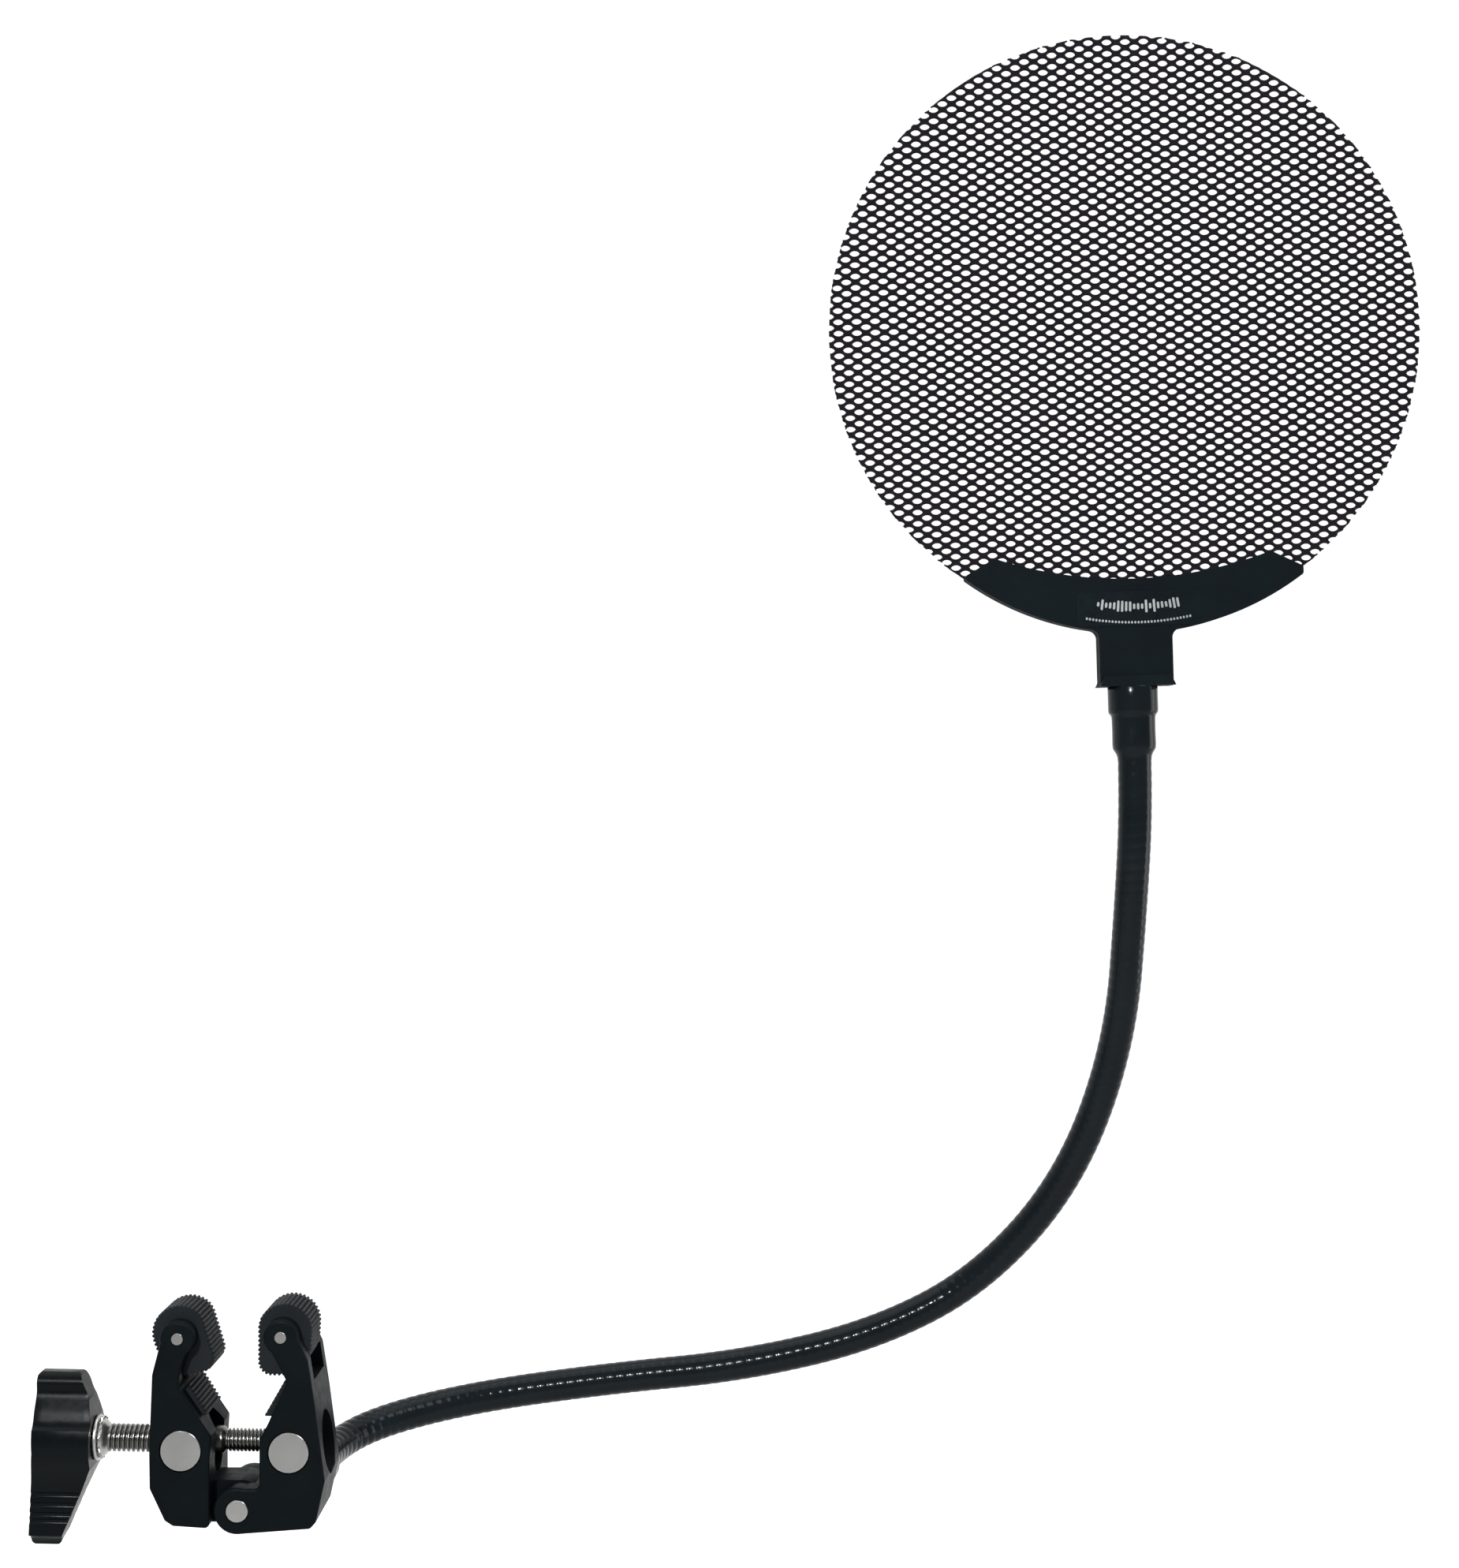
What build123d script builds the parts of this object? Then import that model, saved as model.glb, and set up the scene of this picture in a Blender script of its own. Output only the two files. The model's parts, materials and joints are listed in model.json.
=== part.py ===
from build123d import *
from math import cos, hypot, radians, sin, sqrt, tan
import os

os.makedirs("parts", exist_ok=True)

# A pop filter for a microphone stand: a round expanded-metal screen on a gooseneck, with a small
# two-jaw screw clamp at the other end.
# Frame: the origin is in the middle of the clamp's throat, where the stand's tube sits.
# X runs from the clamp's knob towards the gooseneck, Y runs along the held tube and away from the
# clamp's front face, and Z runs up through the open throat.

# ---- driving dimensions, in millimetres ----

# Clamp. Points on the jaws are measured from the hinge pin, as (x, z).
hinge_x, hinge_z = 1.6, -28.0
jaw_depth = 20.0
ear_thickness, ear_radius = 3.7, 3.6
pin_fit = 0.06
side_gap = 0.3
left_trunnion_at = (-11.6, 12.4)
right_trunnion_at = (10.64, 12.0)
left_pad_pin_at = (-12.3, 35.4)
right_pad_pin_at = (8.96, 35.7)
hinge_pin_radius = 2.5
pad_pin_radius = 1.35
trunnion_radius = 4.35
knuckle_radius = 4.8
tongue_radius = 5.1
tongue_depth = 9.6
slot_width = 8.4
slot_height = 13.4
slot_reach = 10.0
pocket_radius, pocket_depth = 6.5, 2.5
right_wall = 6.6
fork_floor_drop = 9.5
corner_round, edge_round = 1.0, 0.6
pin_chamfer, small_pin_chamfer = 0.3, 0.2
clear_of_part = 30.0

# Screw: a left-hand M6 thread at the knob and a right-hand M5 thread at the far end.
m6_radius, m5_radius = 2.9, 2.4
thread_play = 0.2
screw_shoulder, screw_tip = 7.7, 28.4
washer_radius, washer_thickness, washer_fit, washer_play = 4.7, 0.9, 0.12, 0.05
collar_radius, collar_thickness = 4.3, 1.0
collar_teeth, tooth_radius = 16, 0.35
cone_flare, cone_length = 0.7, 0.9

# Knob. Distances along the screw are measured from the left trunnion.
knob_face = -19.7
knob_top, knob_bottom = 13.9, -22.6
knob_round = 0.9
screw_in_knob = 10.0
finger_grooves = (-11.5, -13.6, -15.6, -17.0)
groove_radius, groove_middle = 0.75, 3.6

# Gripping pads.
pad_depth = 12.0
pad_back, pad_crown = 5.9, 6.2
pad_face, pad_face_top, pad_face_bottom = 5.3, 1.5, -6.2
pad_crown_end, pad_crown_end_height = 4.95, 3.0
pad_drop, pad_foot_start, pad_foot_radius = 8.7, 2.2, 2.9
pad_heel, pad_back_bottom, pad_rear_radius = -1.0, -2.5, 8.0
rib_pitch, rib_height = 0.9, 0.25
left_pad_turn = 17.0
throat_pad_depth = 14.0

# Gooseneck: a steel coil inside a shrunk sleeve, bent to the shape it is stored in.
coil_radius = 2.9
sleeve_radius = 3.6
socket_gap, dome_step = 0.3, 0.02
arc_share = 0.38
fitting_at = (13.0, 3.0)
fitting_radius, fitting_length = 4.3, 5.5
stud_radius, stud_length = 3.0, 5.0
coil_in_fitting = 4.5

# Head: the screen with its bracket, on a plane that leans a little to the left.
screen_x, screen_y, screen_z = 187.9, 14.0, 219.1
head_roll = 1.7
screen_radius, screen_thickness = 63.5, 0.6
bracket_plate = 2.2
arc_x, arc_y, arc_radius = 0.8, -4.6, 60.5
tip_x, tip_y = 36.5, -51.8
shoulder_x, shoulder_y = 29.6, -48.4
inner_arc_y = -53.5
tip_round, tab_round = 0.7, 1.9
tab_x, tab_width, tab_top, tab_bottom = 0.15, 15.7, -57.5, -76.5
lip_height, lip_reach, lip_taper, lip_overhang = 2.2, 4.3, 22.0, 0.2
tab_fill = 11.4
neck_shift = -0.5
ferrule_upper_radius, ferrule_lower_radius = 4.75, 4.05
ferrule_step, ferrule_bottom = -82.2, -90.0
ferrule_stud_radius, ferrule_stud_length = 2.0, 8.0
coil_in_ferrule = 9.0
sleeve_wall = 0.6
label_x, label_y = 0.9, -59.9
label_width, label_height, label_thickness = 26.6, 7.4, 0.15

# ---- frames ----

half_depth = jaw_depth / 2
clamp_plane = Plane(origin=(hinge_x, 0, hinge_z), x_dir=(1, 0, 0), z_dir=(0, -1, 0))
clamp_front = clamp_plane.offset(half_depth)

screw_run = hypot(
    right_trunnion_at[0] - left_trunnion_at[0], right_trunnion_at[1] - left_trunnion_at[1]
)
screw_dir = Vector(
    (right_trunnion_at[0] - left_trunnion_at[0]) / screw_run,
    0,
    (right_trunnion_at[1] - left_trunnion_at[1]) / screw_run,
)
left_trunnion_centre = clamp_plane.from_local_coords((*left_trunnion_at, 0))
right_trunnion_centre = clamp_plane.from_local_coords((*right_trunnion_at, 0))

head_lean = radians(head_roll)
head_plane = Plane(
    origin=(screen_x, screen_y, screen_z),
    x_dir=(cos(head_lean), 0, sin(head_lean)),
    z_dir=(0, -1, 0),
)


def screw_station(along):
    """The plane across the screw at a distance from the left trunnion, with its y axis up."""
    origin = left_trunnion_centre + screw_dir * along
    return Plane(origin=origin, x_dir=(0, 1, 0), z_dir=screw_dir)


# ---- jaws ----

jaw_middle = jaw_depth - 2 * ear_thickness

with BuildPart() as left_jaw:
    with BuildSketch(clamp_plane) as left_outline:
        with BuildLine():
            ear = left_pad_pin_at
            top = Polyline((-15.4, 36.2), (-17.5, 28.0), (-18.1, 12.0), (-18.0, 4.6), (-14.9, -2.0))
            foot = Polyline((-14.9, -2.0), (-13.2, -3.1), (-5.7, -3.6), (-5.7, 9.4), (-5.3, 15.4))
            slope = Polyline((-5.3, 15.4), (-12.0, 25.2))
            ear_side = ThreePointArc((-12.0, 25.2), (-11.3, 30.0), (-9.2, 34.6))
            Line(ear_side @ 1, top @ 0)
        make_face()
        with Locations(ear):
            Circle(ear_radius)
        fillet(left_outline.vertices(), corner_round)
    extrude(amount=half_depth, both=True)
    fillet(left_jaw.faces().filter_by(Axis.Y).edges(), edge_round)
    # the fork for the upper pad
    with BuildSketch(clamp_plane):
        with Locations((ear[0], ear[1] - fork_floor_drop)):
            Rectangle(clear_of_part, clear_of_part, align=(Align.CENTER, Align.MIN))
    extrude(amount=jaw_middle / 2, both=True, mode=Mode.SUBTRACT)
    # the hinge tongue
    with BuildSketch(clamp_plane):
        Circle(tongue_radius)
        with BuildLine():
            Polyline((-8, -3.6), (0, -3.6), (0, tongue_radius), (-8, tongue_radius), close=True)
        make_face()
    extrude(amount=tongue_depth / 2, both=True)
    # bores for the hinge pin, the trunnion and the pad pin, and the slot for the screw
    with Locations(clamp_front):
        Hole(hinge_pin_radius + pin_fit)
        with Locations(left_trunnion_at):
            Hole(trunnion_radius + pin_fit)
        with Locations(ear):
            Hole(pad_pin_radius)
    with BuildSketch(screw_station(-slot_reach)):
        SlotOverall(slot_height, slot_width, rotation=90)
    extrude(amount=2 * slot_reach, mode=Mode.SUBTRACT)

with BuildPart() as right_jaw:
    with BuildSketch(clamp_plane) as right_outline:
        with BuildLine():
            ear = right_pad_pin_at
            back = Polyline((12.0, 36.6), (14.6, 31.0), (16.0, 22.0), (18.1, 6.2), (16.2, -2.4))
            foot = Polyline((16.2, -2.4), (15.0, -3.7), (0, -knuckle_radius), (0, 4.6), (4.6, 4.6))
            inner = Polyline((4.6, 4.6), (4.6, 14.6), (6.4, 18.0), (10.2, 26.6))
            ear_side = ThreePointArc((10.2, 26.6), (8.2, 30.6), (6.0, 34.6))
            Line(ear_side @ 1, back @ 0)
        make_face()
        with Locations(ear):
            Circle(ear_radius)
        Circle(knuckle_radius)
        fillet(right_outline.vertices(), corner_round)
    extrude(amount=half_depth, both=True)
    fillet(right_jaw.faces().filter_by(Axis.Y).edges(), edge_round)
    # the fork for the upper pad
    with BuildSketch(clamp_plane):
        with Locations((ear[0], ear[1] - fork_floor_drop)):
            Rectangle(clear_of_part, clear_of_part, align=(Align.CENTER, Align.MIN))
    extrude(amount=jaw_middle / 2, both=True, mode=Mode.SUBTRACT)
    # the gap for the left jaw's tongue
    with BuildSketch(clamp_plane):
        Circle(tongue_radius + 0.4)
        with BuildLine():
            Polyline((-8, -8), (0, -8), (0, 8), (-8, 8), close=True)
        make_face()
    extrude(amount=tongue_depth / 2 + side_gap, both=True, mode=Mode.SUBTRACT)
    with Locations(clamp_front):
        Hole(hinge_pin_radius)
        with Locations(right_trunnion_at):
            Hole(trunnion_radius + pin_fit)
        with Locations(ear):
            Hole(pad_pin_radius)
    # the slot for the screw, opening into a round pocket in the outer face
    with BuildSketch(screw_station(screw_run - slot_reach)):
        SlotOverall(slot_height, slot_width, rotation=90)
    extrude(amount=2 * slot_reach, mode=Mode.SUBTRACT)
    with BuildSketch(screw_station(screw_run + right_wall - pocket_depth)):
        Circle(pocket_radius)
    extrude(amount=slot_reach, mode=Mode.SUBTRACT)
    # the tapped hole for the gooseneck's stud, in the back face
    with Locations(clamp_plane.offset(-half_depth)):
        with Locations(fitting_at):
            Hole(stud_radius, depth=stud_length)


# ---- pins and trunnions ----


def cross_pin(radius, at, chamfer_length):
    """A plain pin along Y through a jaw, flush with both faces."""
    with BuildPart() as pin:
        with BuildSketch(clamp_plane):
            with Locations(at):
                Circle(radius)
        extrude(amount=half_depth, both=True)
        chamfer(pin.edges(), chamfer_length)
    return pin


def trunnion(at, bore_radius):
    """A round bar through a jaw, tapped across its middle for the screw."""
    with BuildPart() as bar:
        add(cross_pin(trunnion_radius, at, pin_chamfer).part)
        centre = clamp_plane.from_local_coords((*at, 0))
        with BuildSketch(Plane(origin=centre, z_dir=screw_dir)):
            Circle(bore_radius + thread_play)
        extrude(amount=2 * trunnion_radius, both=True, mode=Mode.SUBTRACT)
    return bar


hinge_pin = cross_pin(hinge_pin_radius, (0, 0), pin_chamfer)
left_pad_pin = cross_pin(pad_pin_radius, left_pad_pin_at, small_pin_chamfer)
right_pad_pin = cross_pin(pad_pin_radius, right_pad_pin_at, small_pin_chamfer)
left_trunnion = trunnion(left_trunnion_at, m6_radius)
right_trunnion = trunnion(right_trunnion_at, m5_radius)

# ---- gripping pads ----


def upper_pad(pin_at, face_sign, turn):
    """A rubber pad on its pin: a flat ribbed face, a round ribbed back and a rounded foot."""
    pad_plane = Plane(
        origin=clamp_plane.from_local_coords((*pin_at, 0)),
        x_dir=(face_sign * cos(radians(turn)), 0, face_sign * sin(radians(turn))),
        z_dir=(0, -face_sign, 0),
    )
    with BuildPart() as pad:
        with BuildSketch(pad_plane):
            with BuildLine():
                face = Line((pad_face, pad_face_top), (pad_face, pad_face_bottom))
                foot = RadiusArc(face @ 1, (pad_foot_start, -pad_drop), pad_foot_radius)
                heel = Line(foot @ 1, (pad_heel, -pad_drop))
                rear = RadiusArc(heel @ 1, (-pad_back, pad_back_bottom), pad_rear_radius)
                back = Line(rear @ 1, (-pad_back, 0))
                crown = ThreePointArc(back @ 1, (0, pad_crown), (pad_crown_end, pad_crown_end_height))
                Line(crown @ 1, face @ 0)
            skin = make_face()
        extrude(amount=pad_depth / 2, both=True)
        # grooves between the ribs, across the skin of the pad
        rim = skin.face().outer_wire()
        grooves = round(rim.length / rib_pitch)
        with BuildSketch(pad_plane):
            with Locations([rim @ (step / grooves) for step in range(grooves)]):
                Circle(rib_height)
        extrude(amount=pad_depth / 2, both=True, mode=Mode.SUBTRACT)
        with BuildSketch(pad_plane):
            Circle(pad_pin_radius + pin_fit)
        extrude(amount=pad_depth / 2, both=True, mode=Mode.SUBTRACT)
    return pad


def throat_pad(outer, inner):
    """A ribbed rubber strip on the slanted wall of the throat, between its outer and inner faces."""
    (top, bottom), (inner_top, inner_bottom) = outer, inner
    with BuildPart() as pad:
        with BuildSketch(clamp_plane):
            with BuildLine():
                Polyline(top, bottom, inner_bottom, inner_top, close=True)
            make_face()
        extrude(amount=throat_pad_depth / 2, both=True)
        face_line = Edge.make_line(top, bottom)
        grooves = round(face_line.length / rib_pitch)
        with BuildSketch(clamp_plane):
            with Locations([face_line @ ((step + 0.5) / grooves) for step in range(grooves)]):
                Circle(rib_height)
        extrude(amount=throat_pad_depth / 2, both=True, mode=Mode.SUBTRACT)
    return pad


left_pad = upper_pad(left_pad_pin_at, 1, left_pad_turn)
right_pad = upper_pad(right_pad_pin_at, -1, 0)

left_throat_pad = throat_pad(((-10.3, 25.4), (-6.5, 19.3)), ((-11.3, 24.4), (-7.6, 19.0)))
right_throat_pad = throat_pad(((9.2, 26.0), (5.1, 18.9)), ((9.75, 25.7), (6.7, 18.85)))

# ---- screw, washer and knob ----

collar_start = knob_face + washer_thickness + 2 * washer_play
cone_start = collar_start + collar_thickness

with BuildPart() as clamp_screw:
    with BuildSketch(screw_station(knob_face - screw_in_knob)):
        Circle(m6_radius)
    extrude(amount=screw_in_knob - knob_face + screw_shoulder)
    with BuildSketch(screw_station(screw_shoulder)):
        Circle(m5_radius)
    extrude(amount=screw_tip - screw_shoulder)
    chamfer(clamp_screw.edges().filter_by(GeomType.CIRCLE).sort_by(Axis.X)[-1], 0.5)
    with BuildSketch(screw_station(collar_start)):
        Circle(collar_radius)
        with PolarLocations(collar_radius, collar_teeth):
            Circle(tooth_radius, mode=Mode.SUBTRACT)
    extrude(amount=collar_thickness)
    with BuildSketch(screw_station(cone_start)):
        Circle(m6_radius + cone_flare)
    with BuildSketch(screw_station(cone_start + cone_length)):
        Circle(m6_radius)
    loft()

with BuildPart() as collar_washer:
    with BuildSketch(screw_station(knob_face + washer_play)):
        Circle(washer_radius)
        Circle(m6_radius + washer_fit, mode=Mode.SUBTRACT)
    extrude(amount=washer_thickness)

knob_side = Plane(origin=left_trunnion_centre, x_dir=screw_dir, z_dir=(0, -1, 0))

with BuildPart() as knob:
    # the outline seen from the front: a short wing above the hub and a long lever below it
    with BuildSketch(knob_side) as wing_outline:
        with BuildLine():
            Polyline(
                (-31.6, knob_top),
                (-22.8, knob_top),
                (-20.6, 8.6),
                (knob_face, 4.2),
                (knob_face, -5.4),
                (-26.9, knob_bottom),
                (-32.8, knob_bottom),
                (-32.5, -11.0),
                (-31.5, -2.0),
                (-31.7, 6.0),
                close=True,
            )
        make_face()
        fillet(wing_outline.vertices(), knob_round)
    extrude(amount=clear_of_part, both=True)
    # the profile seen along the screw: slim wings that swell into the hub
    with BuildSketch(screw_station(-2 * clear_of_part)):
        with BuildLine():
            for side in (1, -1):
                wing = Spline(
                    (0, knob_top),
                    (side * 2.2, 13.3),
                    (side * 3.0, 11.8),
                    (side * 2.75, 10.2),
                    (side * 3.5, 8.0),
                    (side * 4.6, 5.8),
                    (side * 5.3, 4.2),
                    (side * 6.6, 2.8),
                )
                hub = ThreePointArc(wing @ 1, (side * 7.0, 0), (side * 6.5, -3.0))
                lever = Spline(hub @ 1, (side * 5.0, -6.2), (side * 3.6, -9.4), (side * 3.2, -13.0))
                tip = Line(lever @ 1, (side * 3.2, -20.0))
                RadiusArc(tip @ 1, (0, knob_bottom), side * -4.2)
        make_face()
    extrude(amount=2 * clear_of_part, mode=Mode.INTERSECT)
    # finger grooves across the lever
    with BuildSketch(screw_station(-2 * clear_of_part)):
        with Locations([(side * groove_middle, up) for side in (1, -1) for up in finger_grooves]):
            Circle(groove_radius)
    extrude(amount=2 * clear_of_part, mode=Mode.SUBTRACT)
    with BuildSketch(screw_station(knob_face - screw_in_knob)):
        Circle(m6_radius)
    extrude(amount=2 * screw_in_knob, mode=Mode.SUBTRACT)

# ---- gooseneck ----

neck_foot = clamp_plane.from_local_coords((*fitting_at, -half_depth - fitting_length))
neck_head = head_plane.from_local_coords((neck_shift, ferrule_bottom, 0))
route = [
    neck_foot,
    neck_foot + Vector(0, 12.5, 0),
    Vector(24, 40, -22),
    Vector(45, 50, -19),
    Vector(76, 51, -15),
    Vector(106, 50.5, -12),
    Vector(136, 50.5, -5),
    Vector(160.5, 51, 7.5),
    Vector(179.5, 40, 32),
    Vector(189.5, 30, 64),
    Vector(190, 17, 98),
    neck_head - head_plane.y_dir * 12,
    neck_head,
]
# The middles of these runs of the route carry the bend joints.
bend_runs = range(2, 10)
pivots = [(route[run] + route[run + 1]) / 2 for run in bend_runs]


def corner_radius(corner):
    """The largest arc that the two runs at a corner of the route allow."""
    before = route[corner] - route[corner - 1]
    after = route[corner + 1] - route[corner]
    half_turn = radians(before.get_angle(after)) / 2
    return arc_share * min(before.length, after.length) / tan(half_turn)


def tube(radius, points, radii):
    """A round bar along straight runs and tangent arcs."""
    with BuildPart() as bar:
        with BuildLine():
            path = FilletPolyline(*points, radius=radii)
        with BuildSketch(Plane(origin=path @ 0, z_dir=path % 0)):
            Circle(radius)
        sweep(path=path)
    return bar.part


ends = [neck_foot, *pivots, neck_head]
end_runs = [0, *bend_runs, len(route) - 2]
segments = len(ends) - 1
coils, sleeves = [], []
for index in range(segments):
    corners = range(end_runs[index] + 1, end_runs[index + 1] + 1)
    radii = [corner_radius(corner) for corner in corners]
    bends = [route[corner] for corner in corners]
    first, last = index == 0, index == segments - 1
    start_dir = (bends[0] - ends[index]).normalized()
    end_dir = (ends[index + 1] - bends[-1]).normalized()
    coil_start = ends[index] - start_dir * (coil_in_fitting if first else 0)
    coil_end = ends[index + 1] + end_dir * (coil_in_ferrule if last else 0)
    with BuildPart() as coil:
        add(tube(coil_radius, [coil_start, *bends, coil_end], radii))
        if not first:
            with Locations(Plane(origin=ends[index], z_dir=start_dir)):
                Sphere(sleeve_radius + socket_gap + 0.1, mode=Mode.SUBTRACT)
    with BuildPart() as sleeve:
        add(tube(sleeve_radius, [ends[index], *bends, ends[index + 1]], radii))
        if not last:
            with Locations(Plane(origin=ends[index + 1], z_dir=end_dir)):
                Sphere(sleeve_radius - dome_step)
        if not first:
            with Locations(Plane(origin=ends[index], z_dir=start_dir)):
                Sphere(sleeve_radius + socket_gap, mode=Mode.SUBTRACT)
        add(coil.part, mode=Mode.SUBTRACT)
    coils.append(coil)
    sleeves.append(sleeve)

with BuildPart() as lower_fitting:
    with BuildSketch(clamp_plane.offset(-half_depth)):
        with Locations(fitting_at):
            Circle(fitting_radius)
    extrude(amount=-fitting_length)
    chamfer(lower_fitting.edges().sort_by(Axis.Y)[-1], 0.5)
    with BuildSketch(clamp_plane.offset(-half_depth)):
        with Locations(fitting_at):
            Circle(stud_radius)
    extrude(amount=stud_length)
    with BuildSketch(Plane(origin=neck_foot, z_dir=(0, -1, 0))):
        Circle(coil_radius)
    extrude(amount=coil_in_fitting, mode=Mode.SUBTRACT)

# ---- head ----

# The ferrule and the sleeve over it are turned about the neck's axis, drawn on the head's plane.
neck_axis = Axis(head_plane.from_local_coords((neck_shift, 0, 0)), head_plane.y_dir)

with BuildPart() as upper_ferrule:
    with BuildSketch(head_plane):
        with BuildLine():
            Polyline(
                (neck_shift, ferrule_bottom + coil_in_ferrule),
                (neck_shift + coil_radius, ferrule_bottom + coil_in_ferrule),
                (neck_shift + coil_radius, ferrule_bottom),
                (neck_shift + ferrule_lower_radius, ferrule_bottom),
                (neck_shift + ferrule_lower_radius, ferrule_step - 0.7),
                (neck_shift + ferrule_upper_radius, ferrule_step),
                (neck_shift + ferrule_upper_radius, tab_bottom),
                (neck_shift + ferrule_stud_radius, tab_bottom),
                (neck_shift + ferrule_stud_radius, tab_bottom + ferrule_stud_length),
                (neck_shift, tab_bottom + ferrule_stud_length),
                close=True,
            )
        make_face()
    revolve(axis=neck_axis)

with BuildPart() as sleeve_top:
    add(sleeves[-1].part)
    with BuildSketch(head_plane):
        with BuildLine():
            Polyline(
                (neck_shift + coil_radius, ferrule_bottom - 0.01),
                (neck_shift + ferrule_lower_radius, ferrule_bottom - 0.01),
                (neck_shift + ferrule_lower_radius, ferrule_step - 0.7),
                (neck_shift + ferrule_upper_radius, ferrule_step),
                (neck_shift + ferrule_upper_radius, tab_bottom),
                (neck_shift + ferrule_upper_radius + sleeve_wall, tab_bottom),
                (neck_shift + ferrule_upper_radius + sleeve_wall, ferrule_step),
                (neck_shift + ferrule_lower_radius + sleeve_wall, ferrule_step - 0.9),
                (neck_shift + ferrule_lower_radius + sleeve_wall, ferrule_bottom),
                (neck_shift + sleeve_radius, ferrule_bottom - 1.6),
                (neck_shift + coil_radius, ferrule_bottom - 1.6),
                close=True,
            )
        make_face()
    revolve(axis=neck_axis)
sleeves[-1] = sleeve_top

with BuildPart() as screen:
    with BuildSketch(head_plane):
        Circle(screen_radius)
    extrude(amount=screen_thickness / 2, both=True)


tab_foot = Plane(
    origin=head_plane.from_local_coords((0, tab_bottom, 0)),
    x_dir=head_plane.x_dir,
    z_dir=head_plane.y_dir,
)


def bracket_half(side):
    """Half of the bracket, in front of the screen (side 1) or behind it (side -1)."""
    plate_middle = side * (screen_thickness + bracket_plate) / 2
    arc_end = (tip_x, arc_y - sqrt(arc_radius**2 - (tip_x - arc_x) ** 2))
    arc_start = (-tip_x, arc_y - sqrt(arc_radius**2 - (tip_x + arc_x) ** 2))
    join_y = arc_y - arc_radius
    with BuildPart() as half:
        with BuildSketch(head_plane.offset(plate_middle)) as plate_outline:
            with BuildLine():
                ThreePointArc(arc_start, (arc_x, join_y), arc_end)
                Polyline(arc_end, (tip_x, tip_y), (shoulder_x, shoulder_y))
                ThreePointArc((shoulder_x, shoulder_y), (0, inner_arc_y), (-shoulder_x, shoulder_y))
                Line((-shoulder_x, shoulder_y), arc_start)
            make_face()
            fillet(plate_outline.vertices(), tip_round)
            with Locations((tab_x, tab_bottom)):
                Rectangle(tab_width, tab_top - tab_bottom, align=(Align.CENTER, Align.MIN))
            for corner_x in (tab_x - tab_width / 2, tab_x + tab_width / 2):
                fillet(plate_outline.vertices().sort_by_distance((corner_x, join_y))[0], tab_round)
        extrude(amount=bracket_plate / 2, both=True)
        # below the screen's edge the tab is filled in to the middle of the bracket
        with BuildSketch(head_plane):
            with Locations((tab_x, tab_bottom)):
                Rectangle(tab_width, tab_fill, align=(Align.CENTER, Align.MIN))
        extrude(amount=side * screen_thickness)
        # the flared lip at the foot of the tab
        with BuildSketch(tab_foot):
            with Locations((tab_x, -side * lip_reach / 2)):
                Rectangle(tab_width + 2 * lip_overhang, lip_reach)
        extrude(amount=lip_height, taper=lip_taper)
        with BuildSketch(head_plane):
            Rectangle(3 * screen_radius, 3 * screen_radius)
        extrude(amount=-side * clear_of_part, mode=Mode.SUBTRACT)
        # the half groove for the ferrule's stud
        with BuildSketch(tab_foot):
            with Locations((neck_shift, 0)):
                Circle(ferrule_stud_radius)
        extrude(amount=ferrule_stud_length, mode=Mode.SUBTRACT)
    return half


front_bracket = bracket_half(1)
back_bracket = bracket_half(-1)

with BuildPart() as label:
    with BuildSketch(head_plane.offset(screen_thickness / 2 + bracket_plate)) as label_outline:
        with Locations((label_x, label_y)):
            Rectangle(label_width, label_height)
        fillet(label_outline.vertices(), corner_round)
    extrude(amount=label_thickness)

# ---- write the pieces ----

left_jaw.part.label = "left_jaw"
right_jaw.part.label = "right_jaw"
hinge_pin.part.label = "hinge_pin"
left_pad_pin.part.label = "left_pad_pin"
right_pad_pin.part.label = "right_pad_pin"
left_trunnion.part.label = "left_trunnion"
right_trunnion.part.label = "right_trunnion"
left_pad.part.label = "left_pad"
right_pad.part.label = "right_pad"
left_throat_pad.part.label = "left_throat_pad"
right_throat_pad.part.label = "right_throat_pad"
clamp_screw.part.label = "clamp_screw"
collar_washer.part.label = "collar_washer"
knob.part.label = "knob"
lower_fitting.part.label = "lower_fitting"
upper_ferrule.part.label = "upper_ferrule"
screen.part.label = "screen"
front_bracket.part.label = "front_bracket"
back_bracket.part.label = "back_bracket"
label.part.label = "label"

export_step(left_jaw.part, "parts/left_jaw.step")
export_step(right_jaw.part, "parts/right_jaw.step")
export_step(hinge_pin.part, "parts/hinge_pin.step")
export_step(left_pad_pin.part, "parts/left_pad_pin.step")
export_step(right_pad_pin.part, "parts/right_pad_pin.step")
export_step(left_trunnion.part, "parts/left_trunnion.step")
export_step(right_trunnion.part, "parts/right_trunnion.step")
export_step(left_pad.part, "parts/left_pad.step")
export_step(right_pad.part, "parts/right_pad.step")
export_step(left_throat_pad.part, "parts/left_throat_pad.step")
export_step(right_throat_pad.part, "parts/right_throat_pad.step")
export_step(clamp_screw.part, "parts/clamp_screw.step")
export_step(collar_washer.part, "parts/collar_washer.step")
export_step(knob.part, "parts/knob.step")
export_step(lower_fitting.part, "parts/lower_fitting.step")
export_step(upper_ferrule.part, "parts/upper_ferrule.step")
export_step(screen.part, "parts/screen.step")
export_step(front_bracket.part, "parts/front_bracket.step")
export_step(back_bracket.part, "parts/back_bracket.step")
export_step(label.part, "parts/label.step")

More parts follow.
